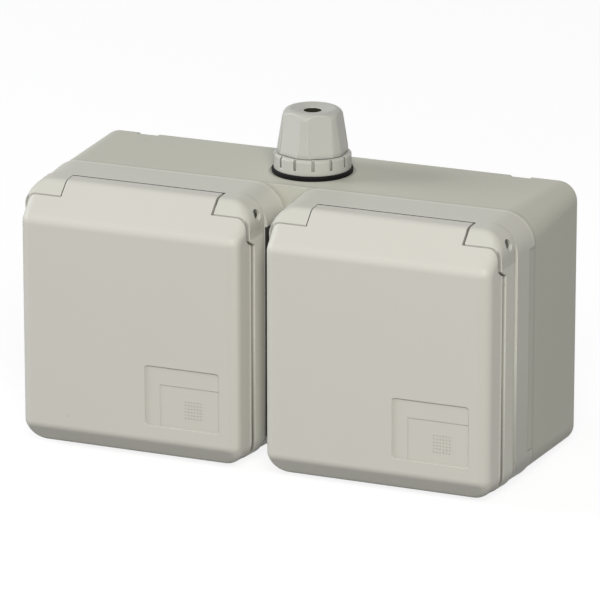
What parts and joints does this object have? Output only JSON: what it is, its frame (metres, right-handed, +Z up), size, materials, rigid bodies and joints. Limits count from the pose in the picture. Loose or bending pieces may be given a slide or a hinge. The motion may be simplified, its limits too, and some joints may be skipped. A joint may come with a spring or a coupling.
{
  "type": "outdoor weatherproof double socket",
  "caption": "Surface-mounted weatherproof mains socket with side-by-side outlets under sprung hinged lids and a cable gland on top.",
  "frame": {"origin": "centre of the rear face that lies against the wall", "axes": "+X to the right seen from the front, +Y into the wall, +Z up"},
  "size_m": [0.1476, 0.0626, 0.0961],
  "materials": {
    "housing": "satin moulded",
    "cover": "satin moulded",
    "gland": "satin moulded",
    "seal": "matt black",
    "insert": "satin moulded",
    "carrier": "glazed",
    "steel": "zinc plated",
    "brass": "plain"
  },
  "bodies": {
    "housing": {"base_box": "housing", "gland_body": "gland", "gland_washer": "seal", "gland_lock_nut": "gland", "left_cover_frame": "cover", "left_cover_gasket": "seal", "left_cover_screws": "steel", "left_hinge_pin": "steel", "left_hinge_spring": "steel", "left_socket_face": "insert", "left_earth_bracket": "brass", "left_contact_carrier": "carrier", "left_line_contact": "brass", "left_neutral_contact": "brass", "left_terminal_screws": "steel", "left_insert_screws": "steel", "left_face_screw": "steel", "right_cover_frame": "cover", "right_cover_gasket": "seal", "right_cover_screws": "steel", "right_hinge_pin": "steel", "right_hinge_spring": "steel", "right_socket_face": "insert", "right_earth_bracket": "brass", "right_contact_carrier": "carrier", "right_line_contact": "brass", "right_neutral_contact": "brass", "right_terminal_screws": "steel", "right_insert_screws": "steel", "right_face_screw": "steel"},
    "gland_insert": {"gland_seal": "seal"},
    "gland_nut": {"gland_dome_nut": "gland"},
    "left_cover": {"left_lid": "cover", "left_lid_seal": "seal"},
    "right_cover": {"right_lid": "cover", "right_lid_seal": "seal"}
  },
  "joints": [
    {"name": "left_lid_hinge", "type": "hinge", "parent": "housing", "child": "left_cover", "pos_m": [-0.0375, -0.0504, 0.03374], "axis": [-1, 0, 0], "range_deg": [0, 95], "stiffness_Nm_per_rad": 0.03, "springref_deg": -28.65},
    {"name": "right_lid_hinge", "type": "hinge", "parent": "housing", "child": "right_cover", "pos_m": [0.0375, -0.0504, 0.03374], "axis": [-1, 0, 0], "range_deg": [0, 95], "stiffness_Nm_per_rad": 0.03, "springref_deg": -28.65},
    {"name": "gland_nut_rise", "type": "slide", "parent": "housing", "child": "gland_insert", "axis": [0, 0, 1], "range_m": [0, 0.003]},
    {"name": "gland_nut_turn", "type": "hinge", "parent": "gland_insert", "child": "gland_nut", "pos_m": [0, -0.0181, 0.05], "axis": [0, 0, 1], "range_deg": [0, 720]}
  ],
  "couplings": [
    {"joint": "gland_nut_turn", "follows": "gland_nut_rise", "rad_per_m": 4188.8}
  ]
}
